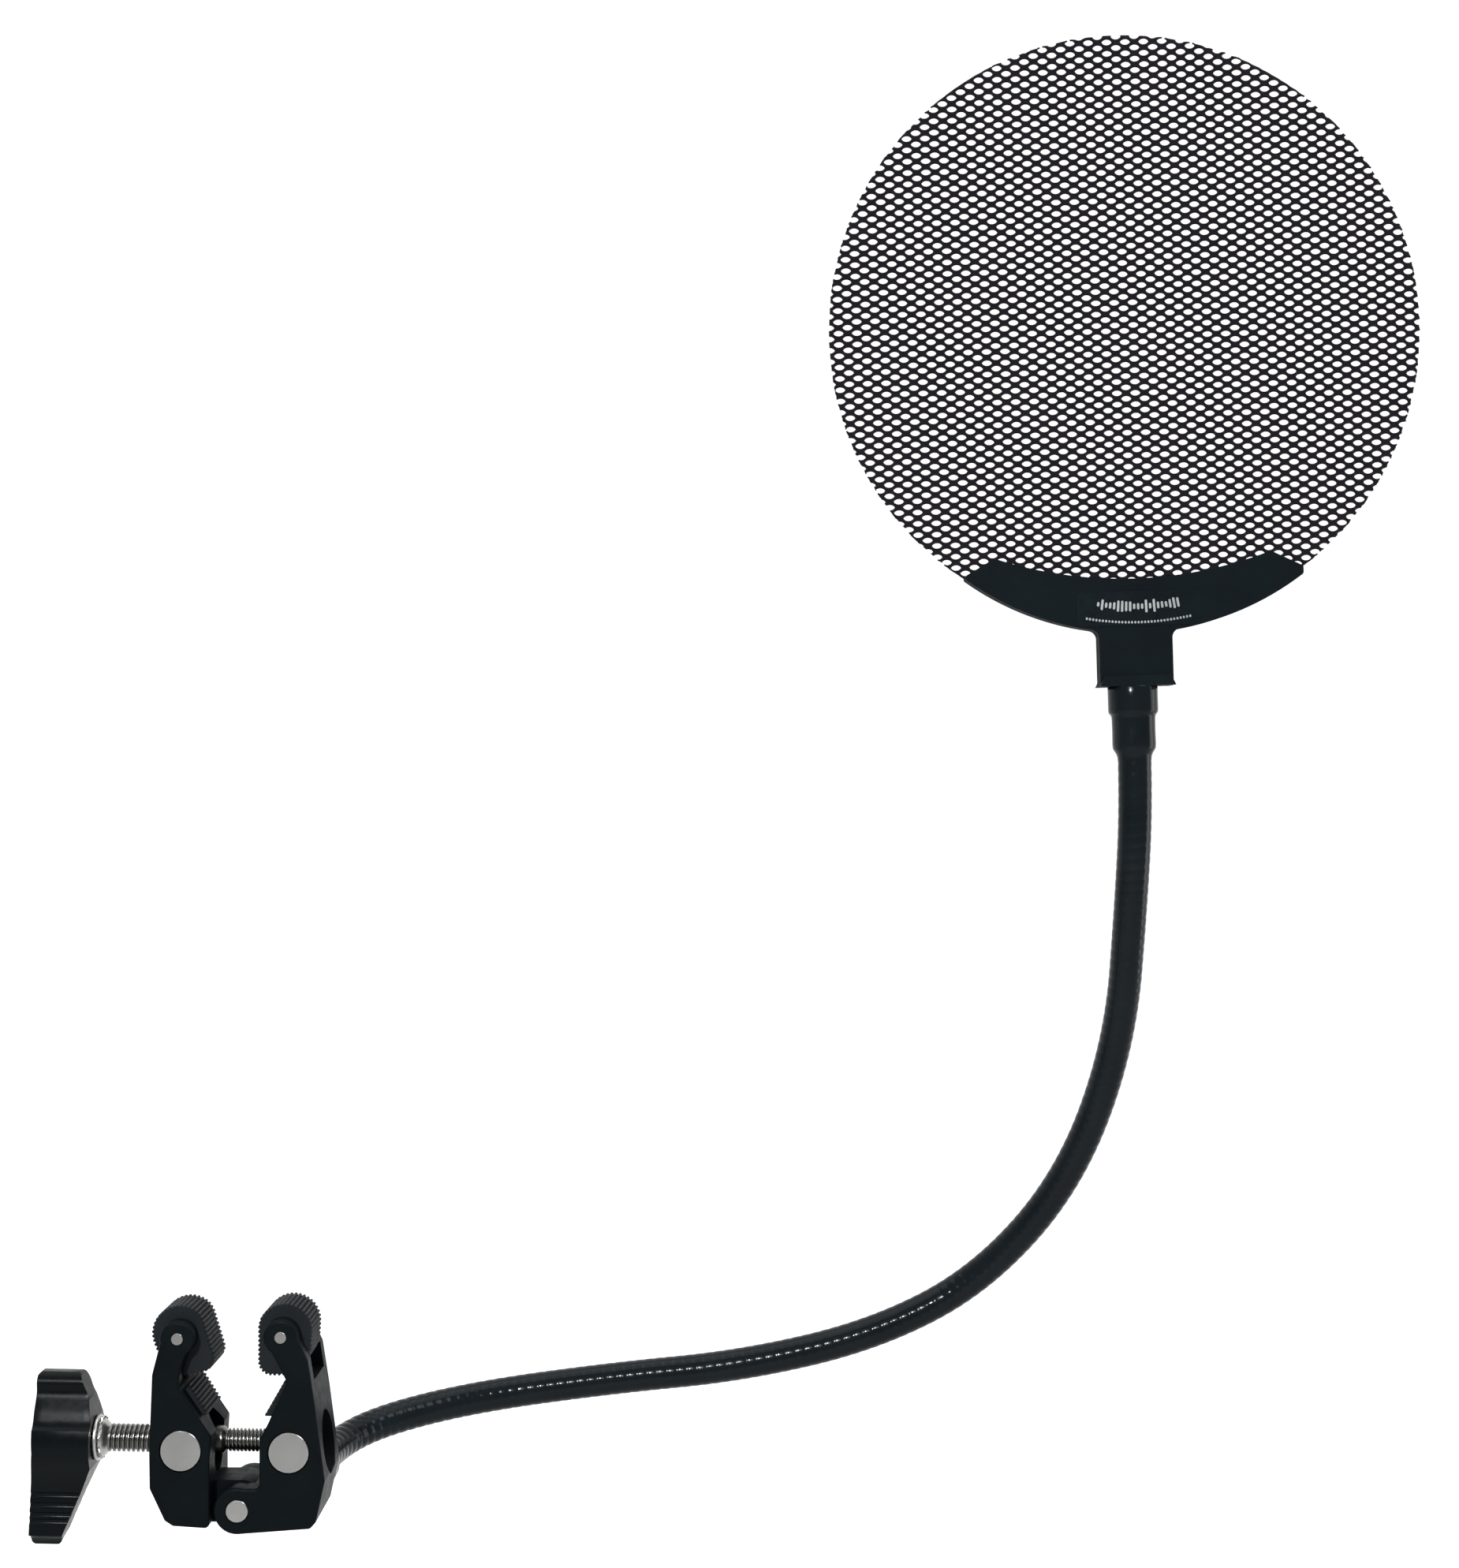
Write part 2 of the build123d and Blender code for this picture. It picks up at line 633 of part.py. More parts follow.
for index in range(segments):
    coils[index].part.label = f"gooseneck_coil_{index + 1}"
    export_step(coils[index].part, f"parts/gooseneck_coil_{index + 1}.step")
    sleeves[index].part.label = f"gooseneck_sleeve_{index + 1}"
    export_step(sleeves[index].part, f"parts/gooseneck_sleeve_{index + 1}.step")
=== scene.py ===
import json
import math

import bmesh
import bpy
import numpy as np
from mathutils import Matrix, Vector


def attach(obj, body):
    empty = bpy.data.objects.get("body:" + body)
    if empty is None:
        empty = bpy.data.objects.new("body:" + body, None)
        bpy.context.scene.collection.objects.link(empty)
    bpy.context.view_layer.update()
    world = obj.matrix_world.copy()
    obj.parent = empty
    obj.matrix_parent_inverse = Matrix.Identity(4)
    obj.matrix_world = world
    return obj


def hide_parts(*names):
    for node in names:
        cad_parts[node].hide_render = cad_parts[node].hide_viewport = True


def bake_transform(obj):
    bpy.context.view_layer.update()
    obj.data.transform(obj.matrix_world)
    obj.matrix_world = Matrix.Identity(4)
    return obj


# A pop filter: an expanded-metal screen on a gooseneck with a two-jaw screw clamp.
# The scene is in metres, in the CAD frame: X from the knob to the gooseneck, Y away from the
# camera, Z up. Lengths of the object's own pieces are given in millimetres and turned by MM.

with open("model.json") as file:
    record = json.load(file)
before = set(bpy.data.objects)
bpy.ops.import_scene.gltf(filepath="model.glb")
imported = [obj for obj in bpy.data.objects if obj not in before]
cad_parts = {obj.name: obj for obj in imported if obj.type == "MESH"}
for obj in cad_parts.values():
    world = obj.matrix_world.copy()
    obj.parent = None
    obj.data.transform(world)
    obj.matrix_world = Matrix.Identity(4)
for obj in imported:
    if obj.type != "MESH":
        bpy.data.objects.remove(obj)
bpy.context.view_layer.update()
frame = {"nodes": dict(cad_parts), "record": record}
scene = bpy.context.scene
MM = 0.001

# ---- places shared with the CAD model, in millimetres ----

HINGE = Vector((1.6, 0, -28.0))
LEFT_TRUNNION = HINGE + Vector((-11.6, 0, 12.4))
RIGHT_TRUNNION = HINGE + Vector((10.64, 0, 12.0))
SCREW_DIR = (RIGHT_TRUNNION - LEFT_TRUNNION).normalized()
HEAD_CENTRE = Vector((187.9, 14.0, 219.1))
HEAD_ROLL = math.radians(1.7)
HEAD_X = Vector((math.cos(HEAD_ROLL), 0, math.sin(HEAD_ROLL)))
HEAD_Y = Vector((-math.sin(HEAD_ROLL), 0, math.cos(HEAD_ROLL)))
TOWARDS_VIEWER = Vector((0, -1, 0))
SCREEN_RADIUS = 63.5


def head_point(x, y, out=0.0):
    """A point of the head in metres: right, up and towards the viewer from the screen's centre."""
    return (HEAD_CENTRE + HEAD_X * x + HEAD_Y * y + TOWARDS_VIEWER * out) * MM


# ---- material helpers ----


class Nodes:
    """A short way to write a material's node tree."""

    def __init__(self, name):
        self.material = bpy.data.materials.new(name)
        self.material.use_nodes = True
        self.tree = self.material.node_tree
        self.shader = self.tree.nodes["Principled BSDF"]

    def connect(self, value, socket):
        """Links another node's output to a socket, or sets a plain value on it."""
        if isinstance(value, bpy.types.NodeSocket):
            self.tree.links.new(value, socket)
        else:
            socket.default_value = value

    def add(self, kind, inputs=None, **settings):
        node = self.tree.nodes.new(kind)
        for key, value in settings.items():
            setattr(node, key, value)
        for key, value in (inputs or {}).items():
            self.connect(value, node.inputs[key])
        return node

    def set(self, **values):
        """Sets the shader's inputs, with an underscore for each space in their names."""
        for key, value in values.items():
            self.connect(value, self.shader.inputs[key.replace("_", " ")])

    def position(self):
        return self.add("ShaderNodeNewGeometry").outputs["Position"]

    def object_position(self):
        return self.add("ShaderNodeTexCoord").outputs["Object"]

    def noise(self, scale, detail=3.0, rough=0.55, vector=None):
        inputs = {"Scale": scale, "Detail": detail, "Roughness": rough}
        inputs["Vector"] = vector or self.object_position()
        return self.add("ShaderNodeTexNoise", inputs).outputs["Fac"]

    def ramp(self, value, stops):
        node = self.add("ShaderNodeValToRGB", {"Fac": value})
        for element, (place, colour) in zip(node.color_ramp.elements, stops):
            element.position = place
            element.color = (*colour, 1)
        return node.outputs["Color"]

    def range(self, value, low, high, out_low, out_high):
        inputs = {"Value": value, "From Min": low, "From Max": high}
        inputs.update({"To Min": out_low, "To Max": out_high})
        return self.add("ShaderNodeMapRange", inputs).outputs["Result"]

    def bump(self, height, strength, distance, normal=None):
        inputs = {"Height": height, "Strength": strength, "Distance": distance}
        if normal is not None:
            inputs["Normal"] = normal
        return self.add("ShaderNodeBump", inputs).outputs["Normal"]


def srgb(r, g, b):
    """A colour given in 0 to 255 as the renderer's linear colour."""
    return tuple(
        (c / 255 / 12.92) if c <= 10 else ((c / 255 + 0.055) / 1.055) ** 2.4 for c in (r, g, b)
    )


def grey(value):
    return (value, value, value)


def tone_stops(colour, spread):
    """Ramp stops from a darker to a lighter tone of a colour."""
    darker = tuple(c * (1 - spread) for c in colour)
    lighter = tuple(c * (1 + spread) for c in colour)
    return [(0.3, darker), (0.7, lighter)]


def powder_coat(name, colour, roughness, grain, specular, peel=1.0):
    """Satin black paint or plastic: fine orange peel, slight change of tone.

    Noise scales are per metre, and bump distances in metres.
    """
    m = Nodes(name)
    m.set(Base_Color=m.ramp(m.noise(90, 4), tone_stops(colour, 0.18)))
    m.set(Roughness=m.range(m.noise(400, 3), 0.3, 0.7, roughness - 0.05, roughness + 0.06))
    m.set(Specular_IOR_Level=specular)
    fine = m.bump(m.noise(grain, 2), 0.25 * peel, 0.00004)
    m.set(Normal=m.bump(m.noise(160, 3), 0.2 * peel, 0.00012, fine))
    return m.material


def bare_metal(name, colour, roughness, scratch):
    """Turned or plated steel: fine scratches, faint stains."""
    m = Nodes(name)
    m.set(Metallic=1.0)
    m.set(Base_Color=m.ramp(m.noise(130, 5, 0.6), tone_stops(colour, 0.07)))
    m.set(Roughness=m.range(m.noise(300, 5, 0.7), 0.3, 0.7, roughness - 0.04, roughness + 0.05))
    stretch = m.add("ShaderNodeMapping", {"Vector": m.object_position(), "Scale": (300, 6000, 300)})
    lines = m.noise(1.0, 4, 0.6, stretch.outputs["Vector"])
    m.set(Normal=m.bump(lines, scratch, 0.00002))
    return m.material


PAINT = powder_coat("clamp_paint", srgb(11, 16, 19), 0.42, 2600, 0.035)
PIN = bare_metal("pin_steel", srgb(176, 176, 175), 0.22, 0.35)
CHROME = bare_metal("screw_plating", srgb(120, 120, 118), 0.28, 0.1)
COLLAR = bare_metal("collar_plating", srgb(188, 188, 185), 0.3, 0.1)
RUBBER = powder_coat("pad_rubber", srgb(20, 25, 28), 0.55, 1800, 0.12)
KNOB = powder_coat("knob_plastic", srgb(3, 8, 10), 0.3, 2200, 0.1, 0.3)
SLEEVE = powder_coat("sleeve_plastic", srgb(15, 21, 25), 0.15, 1500, 0.12, 0.12)
SCREEN = powder_coat("screen_coat", srgb(17, 14, 20), 0.5, 3000, 0.06)
BRACKET = powder_coat("bracket_plastic", srgb(12, 19, 23), 0.6, 2600, 0.04)
FITTING = powder_coat("fitting_black", srgb(14, 16, 18), 0.3, 2500, 0.3)
LABEL = powder_coat("label_film", srgb(13, 20, 24), 0.3, 2500, 0.08)
INK = bare_metal("silver_ink", srgb(168, 172, 174), 0.42, 0.1)

MATERIALS = {
    "clamp_black": PAINT,
    "bright_pin": PIN,
    "pad_rubber": RUBBER,
    "screw_steel": CHROME,
    "knob_plastic": KNOB,
    "fitting_black": FITTING,
    "coil_steel": PIN,
    "sleeve_black": SLEEVE,
    "screen_black": SCREEN,
    "bracket_black": BRACKET,
    "label_clear": LABEL,
}


def put_material(obj, material):
    obj.data.materials.clear()
    obj.data.materials.append(material)


slots = {row["node"]: row["material_slot"] for row in frame["record"]["subparts"]}
for node_name, node in frame["nodes"].items():
    put_material(node, MATERIALS[slots[node_name]])
put_material(frame["nodes"]["collar_washer"], COLLAR)

# ---- mesh helpers ----


def mesh_object(name, vertices, faces, material):
    """A smooth-shaded object from lists of vertices in metres and of faces."""
    mesh = bpy.data.meshes.new(name)
    mesh.from_pydata([tuple(v) for v in vertices], [], faces)
    mesh.validate()
    mesh.update()
    obj = bpy.data.objects.new(name, mesh)
    scene.collection.objects.link(obj)
    mesh.materials.append(material)
    mesh.polygons.foreach_set("use_smooth", [True] * len(mesh.polygons))
    return obj


def object_from_bmesh(name, bm, material):
    """A flat-shaded object from a bmesh, with its faces turned outwards."""
    bmesh.ops.recalc_face_normals(bm, faces=bm.faces)
    mesh = bpy.data.meshes.new(name)
    bm.to_mesh(mesh)
    bm.free()
    mesh.materials.append(material)
    obj = bpy.data.objects.new(name, mesh)
    scene.collection.objects.link(obj)
    return obj


def mark_sharp(obj, degrees):
    """Keeps the edges that turn by more than this angle crisp in a smooth mesh."""
    bm = bmesh.new()
    bm.from_mesh(obj.data)
    limit = math.radians(degrees)
    for edge in bm.edges:
        edge.smooth = edge.calc_face_angle(0.0) < limit
    bm.to_mesh(obj.data)
    bm.free()


def ring_faces(rows, columns, start=0, flip=False):
    """Quads between consecutive closed rings of vertices."""
    faces = []
    for row in range(rows - 1):
        for column in range(columns):
            a = start + row * columns + column
            b = start + row * columns + (column + 1) % columns
            quad = (a, b, b + columns, a + columns)
            faces.append(quad[::-1] if flip else quad)
    return faces


def distances_along(points):
    """The distance from the first point to each point of a line."""
    return np.r_[0, np.cumsum(np.linalg.norm(np.diff(points, axis=0), axis=1))]


def unit_rows(table):
    return table / np.linalg.norm(table, axis=1)[:, None]


def around_axis(count):
    return np.linspace(0, 2 * np.pi, count, endpoint=False)


# ---- camera, floor and lights ----

IMAGE_HEIGHT, FOCAL_PIXELS, SENSOR = 1988, 3176, 36.0
camera_data = bpy.data.cameras.new("camera")
camera = bpy.data.objects.new("camera", camera_data)
scene.collection.objects.link(camera)
camera.location = (0.10296, -0.525, 0.1216)
camera.rotation_euler = (math.radians(90), 0, 0)
camera_data.sensor_width = SENSOR
camera_data.lens = FOCAL_PIXELS / IMAGE_HEIGHT * SENSOR
camera_data.clip_start = 0.01
scene.camera = camera

FLOOR_Z, FLOOR_REACH = -0.30, 8
# where along Y, in metres, the floor's painted shade in front gives way to painted light behind,
# and how strongly the floor glows there
FLOOR_PAINTED_FADE_START, FLOOR_PAINTED_FADE_END = 0.1, 0.8
FLOOR_PAINTED_GLOW = 0.5
floor_corners = [(-1, -1), (1, -1), (1, 1), (-1, 1)]
floor_points = [(x * FLOOR_REACH, y * FLOOR_REACH, FLOOR_Z) for x, y in floor_corners]
floor = mesh_object("floor", floor_points, [(0, 1, 2, 3)], None)
# painted shade and painted light: the floor's colour is darker in front of the object and lighter
# behind it, and behind it the floor itself glows
floor_look = Nodes("floor_paper")
floor_y = floor_look.add("ShaderNodeSeparateXYZ", {"Vector": floor_look.position()}).outputs["Y"]
floor_painted_light_share = floor_look.range(floor_y, FLOOR_PAINTED_FADE_START, FLOOR_PAINTED_FADE_END, 0.0, 1.0)
# painted shade: a darker floor colour in front of the object, a lighter one behind it
floor_painted_shade_tone = floor_look.ramp(floor_painted_light_share, [(0, grey(0.6)), (1, grey(0.92))])
floor_grain = floor_look.ramp(floor_look.noise(3, 2), [(0, grey(0.97)), (1, grey(1))])
floor_mix = floor_look.add(
    "ShaderNodeVectorMath", {0: floor_painted_shade_tone, 1: floor_grain}, operation="MULTIPLY"
)
floor_look.set(Base_Color=floor_mix.outputs["Vector"], Roughness=0.9, Specular_IOR_Level=0.1)
floor_look.set(Emission_Color=(1, 1, 1, 1))
# painted light: the floor glows behind the object, though it is no lamp
floor_look.set(Emission_Strength=floor_look.range(floor_painted_light_share, 0, 1, 0.0, FLOOR_PAINTED_GLOW))
put_material(floor, floor_look.material)

# a white backdrop all round the back and a dimmer room in front of the object
BACK_LIGHT, FRONT_LIGHT = 1.02, 0.3
ROOM_FADE = {"From Min": -0.35, "From Max": 0.55, "To Min": FRONT_LIGHT, "To Max": BACK_LIGHT}
world = bpy.data.worlds.new("studio")
scene.world = world
world.use_nodes = True
world_nodes, world_links = world.node_tree.nodes, world.node_tree.links
sky = world_nodes.new("ShaderNodeTexCoord")
split = world_nodes.new("ShaderNodeSeparateXYZ")
world_links.new(sky.outputs["Generated"], split.inputs["Vector"])
fade = world_nodes.new("ShaderNodeMapRange")
fade.interpolation_type = "SMOOTHSTEP"
for key, value in ROOM_FADE.items():
    fade.inputs[key].default_value = value
world_links.new(split.outputs["Y"], fade.inputs["Value"])
world_nodes["Background"].inputs["Color"].default_value = (1, 1, 1, 1)
world_links.new(fade.outputs["Result"], world_nodes["Background"].inputs["Strength"])

# name: place, target, width and height, power in watts
LIGHTS = {
    "front": ((-0.115, -0.85, 0.42), (0.06, 0, 0), (0.05, 0.05), 8.0),
    "front_soft": ((0.005, -0.85, 0.42), (0.11, 0, 0), (0.1, 0.05), 0.4),
    "key": ((0.8, -0.6, 1.0), (0.08, 0, 0.1), (0.5, 0.5), 4),
    "side": ((1.1, 0.1, 0.1), (0.05, 0, 0.05), (0.4, 0.8), 3),
    "top_left": ((-0.32, 0, 1.1), (0, 0, 0), (0.9, 0.9), 3.5),
    "top_right": ((0.42, 0, 1.1), (0.1, 0, 0), (0.9, 0.9), 3),
}
for name, (place, target, size, power) in LIGHTS.items():
    data = bpy.data.lights.new(name, "AREA")
    data.shape = "RECTANGLE"
    data.size, data.size_y = size
    data.energy = power
    light = bpy.data.objects.new(name, data)
    scene.collection.objects.link(light)
    light.location = place
    light.rotation_euler = (Vector(target) - Vector(place)).to_track_quat("-Z", "Y").to_euler()

scene.view_settings.view_transform = "Standard"
scene.view_settings.look = "None"
scene.view_settings.exposure = 0.0
scene.view_settings.gamma = 1.0

# ---- the screen: expanded metal ----

# the cells' spacing, and half the width and height of their oval holes
PITCH_X, PITCH_Y = 3.966, 2.436
HOLE_X, HOLE_Y = 1.09, 0.636
STRAND_TILT = 0.27
STRAND_THICKNESS = 0.34
# how far each ring of a cell's points is from the cell's outline to its hole
CELL_RINGS = (0.0, 0.55, 1.0)
TILT_POWER = 1.4
# cells are made out to this far past the rim, then cut to the disc
RIM_MARGIN = 3
SEAM_GAP = 0.004


def cell_outline():
    """Points round one cell of the mesh, anticlockwise from its right corner, in mm."""
    half_x, half_y = PITCH_X / 2, PITCH_Y / 2
    gap_squared = half_x**2 + half_y**2
    side_x = gap_squared / PITCH_X
    top_x = (gap_squared / 2 - half_y**2) / half_x
    corners = [(side_x, 0), (top_x, half_y), (-top_x, half_y), (-side_x, 0)]
    corners += [(-top_x, -half_y), (top_x, -half_y)]
    steps = [3, 2, 3, 3, 2, 3]
    points = []
    for index, (a, b) in enumerate(zip(corners, corners[1:] + corners[:1])):
        for step in range(steps[index]):
            t = step / steps[index]
            points.append((a[0] + (b[0] - a[0]) * t, a[1] + (b[1] - a[1]) * t))
    return points


def cell_rings():
    """One cell as rings of points from its outline to its oval hole, with the strands tilted."""
    outline = cell_outline()
    hole = []
    for x, y in outline:
        turn = math.atan2(y / HOLE_Y, x / HOLE_X)
        hole.append((HOLE_X * math.cos(turn), HOLE_Y * math.sin(turn), math.sin(turn)))
    rings = []
    for share in CELL_RINGS:
        lean = STRAND_TILT * share**TILT_POWER
        ring = []
        for (ox, oy), (hx, hy, lift) in zip(outline, hole):
            ring.append((ox + (hx - ox) * share, oy + (hy - oy) * share, lean * lift))
        rings.append(ring)
    return rings


def cell_centres():
    """The middles of all cells that touch the disc."""
    reach = SCREEN_RADIUS + RIM_MARGIN
    rows, columns = math.ceil(reach / PITCH_Y * 2) + 1, math.ceil(reach / PITCH_X) + 1
    centres = []
    for row in range(-rows, rows + 1):
        for column in range(-columns, columns + 1):
            x = (column + (row % 2) / 2) * PITCH_X
            y = row * PITCH_Y / 2
            if math.hypot(x, y) < reach:
                centres.append((x, y))
    return centres


def flat_net():
    """The net without thickness as a bmesh, cut to the disc."""
    rings = cell_rings()
    count = len(rings[0])
    key_of, vertices, faces = {}, [], []
    for x, y in cell_centres():
        ids = []
        for ring in rings:
            for px, py, pz in ring:
                key = (round((px + x) * 1000), round((py + y) * 1000))
                if key not in key_of:
                    key_of[key] = len(vertices)
                    vertices.append((px + x, py + y, pz))
                ids.append(key_of[key])
        for quad in ring_faces(len(rings), count):
            faces.append(tuple(ids[corner] for corner in quad))
    points = np.array(vertices)
    radius = np.hypot(points[:, 0], points[:, 1])
    outside = radius > SCREEN_RADIUS
    faces = [face for face in faces if not all(outside[v] for v in face)]
    points[:, :2] *= np.where(outside, SCREEN_RADIUS / radius, 1.0)[:, None]
    flat = bpy.data.meshes.new("screen_flat")
    flat.from_pydata([tuple(p) for p in points], [], faces)
    bm = bmesh.new()
    bm.from_mesh(flat)
    bpy.data.meshes.remove(flat)
    bmesh.ops.remove_doubles(bm, verts=bm.verts, dist=SEAM_GAP)
    bmesh.ops.delete(bm, geom=[v for v in bm.verts if not v.link_faces], context="VERTS")
    bm.normal_update()
    if sum(face.normal.z for face in bm.faces) < 0:
        bmesh.ops.reverse_faces(bm, faces=bm.faces)
        bm.normal_update()
    bm.verts.index_update()
    return bm


def build_screen():
    bm = flat_net()
    middle = np.array([v.co for v in bm.verts])
    half = np.array([v.normal for v in bm.verts]) * STRAND_THICKNESS / 2
    front_faces = [tuple(v.index for v in face.verts) for face in bm.faces]
    rim = []
    for edge in bm.edges:
        if edge.is_boundary:
            loop = edge.link_loops[0]
            rim.append((loop.vert.index, loop.link_loop_next.vert.index))
    bm.free()
    total = len(middle)
    faces = list(front_faces)
    faces += [tuple(v + total for v in face[::-1]) for face in front_faces]
    faces += [(b, a, a + total, b + total) for a, b in rim]
    places = [head_point(x, y, z) for x, y, z in np.vstack([middle + half, middle - half])]
    screen = mesh_object("screen_mesh", places, faces, SCREEN)
    mark_sharp(screen, degrees=40)
    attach(screen, "head")
    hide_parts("screen")


build_screen()

# ---- the gooseneck: a steel coil in a shrunk sleeve, on one smooth curve ----

# on the head: the neck's offset to the left, the ferrule's foot and the foot of the bracket's tab
NECK_SHIFT, FERRULE_BOTTOM, TAB_BOTTOM = -0.5, -90.0, -76.5
HEAD_RUN = 12
NECK_HEAD = HEAD_CENTRE + HEAD_X * NECK_SHIFT + HEAD_Y * FERRULE_BOTTOM
ROUTE = [
    (14.6, 15.5, -25.0),
    (14.6, 28.0, -25.0),
    (24, 40, -22),
    (45, 50, -19),
    (76, 51, -15),
    (106, 50.5, -12),
    (136, 50.5, -5),
    (160.5, 51, 7.5),
    (179.5, 40, 32),
    (189.5, 30, 64),
    (190, 17, 98),
    tuple(NECK_HEAD - HEAD_Y * HEAD_RUN),
    tuple(NECK_HEAD),
]
# the runs of the route from this one on carry the bend joints, each at its middle
FIRST_BEND_RUN, BENDS = 2, 8
FRAME_SAMPLES = 1500
SLEEVE_RADIUS, SLEEVE_INSIDE = 3.6, 3.05
COIL_WIRE, COIL_MIDDLE, COIL_PITCH = 0.9, 2.05, 2.3
# how far a piece of coil stops short of the seams
COIL_END_GAP = 0.3
RIB_STEPS, SLEEVE_SIDES = 8, 40
WIRE_STEPS, WIRE_SIDES = 20, 8
# how deep the coil shows through the sleeve: clear at the clamp, fainter towards the head
RIB_DEPTH_AT = ([0, 20, 40, 70, 290], [0.1, 0.1, 0.085, 0.065, 0.055])
RIB_SHARPNESS = 2.5


def smooth_line(points):
    """Even points along the NURBS curve of a route, in mm."""
    data = bpy.data.curves.new("route", "CURVE")
    data.dimensions = "3D"
    data.resolution_u = 40
    spline = data.splines.new("NURBS")
    spline.points.add(len(points) - 1)
    for point, place in zip(spline.points, points):
        point.co = (*place, 1)
    spline.order_u = 3
    spline.use_endpoint_u = True
    holder = bpy.data.objects.new("route", data)
    mesh = bpy.data.meshes.new_from_object(holder)
    line = np.array([v.co for v in mesh.vertices])
    bpy.data.objects.remove(holder)
    bpy.data.meshes.remove(mesh)
    return line


def columns_at(places, known, table):
    """Each column of a table read between its known places."""
    return np.array([np.interp(places, known, column) for column in table.T]).T


route_line = smooth_line(ROUTE)
steps_along = distances_along(route_line)
NECK_LENGTH = steps_along[-1]


def neck_frames():
    """Distance, centre, side and up vectors along the neck, turned as little as possible."""
    fine = np.linspace(0, NECK_LENGTH, FRAME_SAMPLES)
    centres = columns_at(fine, steps_along, route_line)
    tangents = unit_rows(np.gradient(centres, axis=0))
    side = np.cross(tangents[0], (0, 0, 1.0))
    sides = []
    for tangent in tangents:
        side = side - tangent * (side @ tangent)
        side = side / np.linalg.norm(side)
        sides.append(side)
    return fine, centres, np.array(sides), np.cross(tangents, sides)


FINE_DISTANCES, *FINE_TABLES = neck_frames()


def frames_at(distances):
    return [columns_at(distances, FINE_DISTANCES, table) for table in FINE_TABLES]


def nearest_distance(point):
    return steps_along[np.argmin(np.linalg.norm(route_line - np.array(point), axis=1))]


def sleeve_piece(name, start, end):
    rows = max(2, round((end - start) / COIL_PITCH) * RIB_STEPS + 1)
    distances = np.linspace(start, end, rows)
    centres, sides, ups = frames_at(distances)
    angles = around_axis(SLEEVE_SIDES)
    vertices = []
    for layer in ("outside", "inside"):
        for row, distance in enumerate(distances):
            phase = 2 * np.pi * distance / COIL_PITCH - angles
            groove = (0.5 + 0.5 * np.cos(phase)) ** RIB_SHARPNESS
            radius = SLEEVE_RADIUS - np.interp(distance, *RIB_DEPTH_AT) * groove
            if layer == "inside":
                radius = np.full(SLEEVE_SIDES, SLEEVE_INSIDE)
            around = np.cos(angles)[:, None] * sides[row] + np.sin(angles)[:, None] * ups[row]
            vertices.extend((centres[row] + around * radius[:, None]) * MM)
    faces = ring_faces(rows, SLEEVE_SIDES)
    inner = rows * SLEEVE_SIDES
    faces += ring_faces(rows, SLEEVE_SIDES, inner, flip=True)
    last = (rows - 1) * SLEEVE_SIDES
    for side in range(SLEEVE_SIDES):
        after = (side + 1) % SLEEVE_SIDES
        faces.append((after, side, inner + side, inner + after))
        faces.append((last + side, last + after, inner + last + after, inner + last + side))
    obj = mesh_object(name, vertices, faces, SLEEVE)
    mark_sharp(obj, degrees=50)
    return obj


def coil_piece(name, start, end):
    steps = round((end - start) / COIL_PITCH * WIRE_STEPS) + 1
    distances = np.linspace(start, end, steps)
    centres, sides, ups = frames_at(distances)
    turn = 2 * np.pi * distances / COIL_PITCH
    reach = np.cos(turn)[:, None] * sides + np.sin(turn)[:, None] * ups
    path = centres + reach * COIL_MIDDLE
    outward = unit_rows(path - centres)
    across = np.cross(unit_rows(np.gradient(path, axis=0)), outward)
    angles = around_axis(WIRE_SIDES)
    vertices = []
    for row in range(steps):
        ring = np.cos(angles)[:, None] * outward[row] + np.sin(angles)[:, None] * across[row]
        vertices.extend((path[row] + ring * COIL_WIRE) * MM)
    faces = ring_faces(steps, WIRE_SIDES, flip=True)
    total = steps * WIRE_SIDES
    faces += [tuple(range(WIRE_SIDES)), tuple(range(total - 1, total - 1 - WIRE_SIDES, -1))]
    return mesh_object(name, vertices, faces, PIN)


pivots = []
for run in range(FIRST_BEND_RUN, FIRST_BEND_RUN + BENDS):
    pivots.append(nearest_distance((np.array(ROUTE[run]) + np.array(ROUTE[run + 1])) / 2))
# every seam between two pieces lies at the bottom of a groove between two coils
seams = [round((a + b) / 2 / COIL_PITCH) * COIL_PITCH for a, b in zip(pivots, pivots[1:])]
seams = [0.0, *seams, NECK_LENGTH]
for index in range(BENDS):
    start, end = seams[index], seams[index + 1]
    sleeve = sleeve_piece(f"neck_sleeve_{index + 1}", start, end)
    coil = coil_piece(f"neck_coil_{index + 1}", start + COIL_END_GAP, end - COIL_END_GAP)
    for obj, node in ((sleeve, "gooseneck_sleeve"), (coil, "gooseneck_coil")):
        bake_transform(obj)
        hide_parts(f"{node}_{index + 1}")
    if index == BENDS - 1:
        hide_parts(f"gooseneck_coil_{BENDS + 1}")


def turned(name, profile, origin, axis, side, material, hollow=False):
    """A turned piece: (distance along the axis, radius) points in mm, spun about the axis."""
    steps = 64
    axis, side = Vector(axis).normalized(), Vector(side)
    side = (side - axis * side.dot(axis)).normalized()
    other = axis.cross(side)
    vertices = []
    for along, radius in profile:
        for angle in around_axis(steps):
            around = side * math.cos(angle) + other * math.sin(angle)
            vertices.append((Vector(origin) + axis * along + around * radius) * MM)
    rows = len(profile)
    last = (rows - 1) * steps
    faces = ring_faces(rows, steps)
    if hollow:
        for step in range(steps):
            after = (step + 1) % steps
            faces.append((last + step, last + after, after, step))
    else:
        faces.append(tuple(range(steps))[::-1])
        faces.append(tuple(range(last, last + steps)))
    return mesh_object(name, vertices, faces, material)


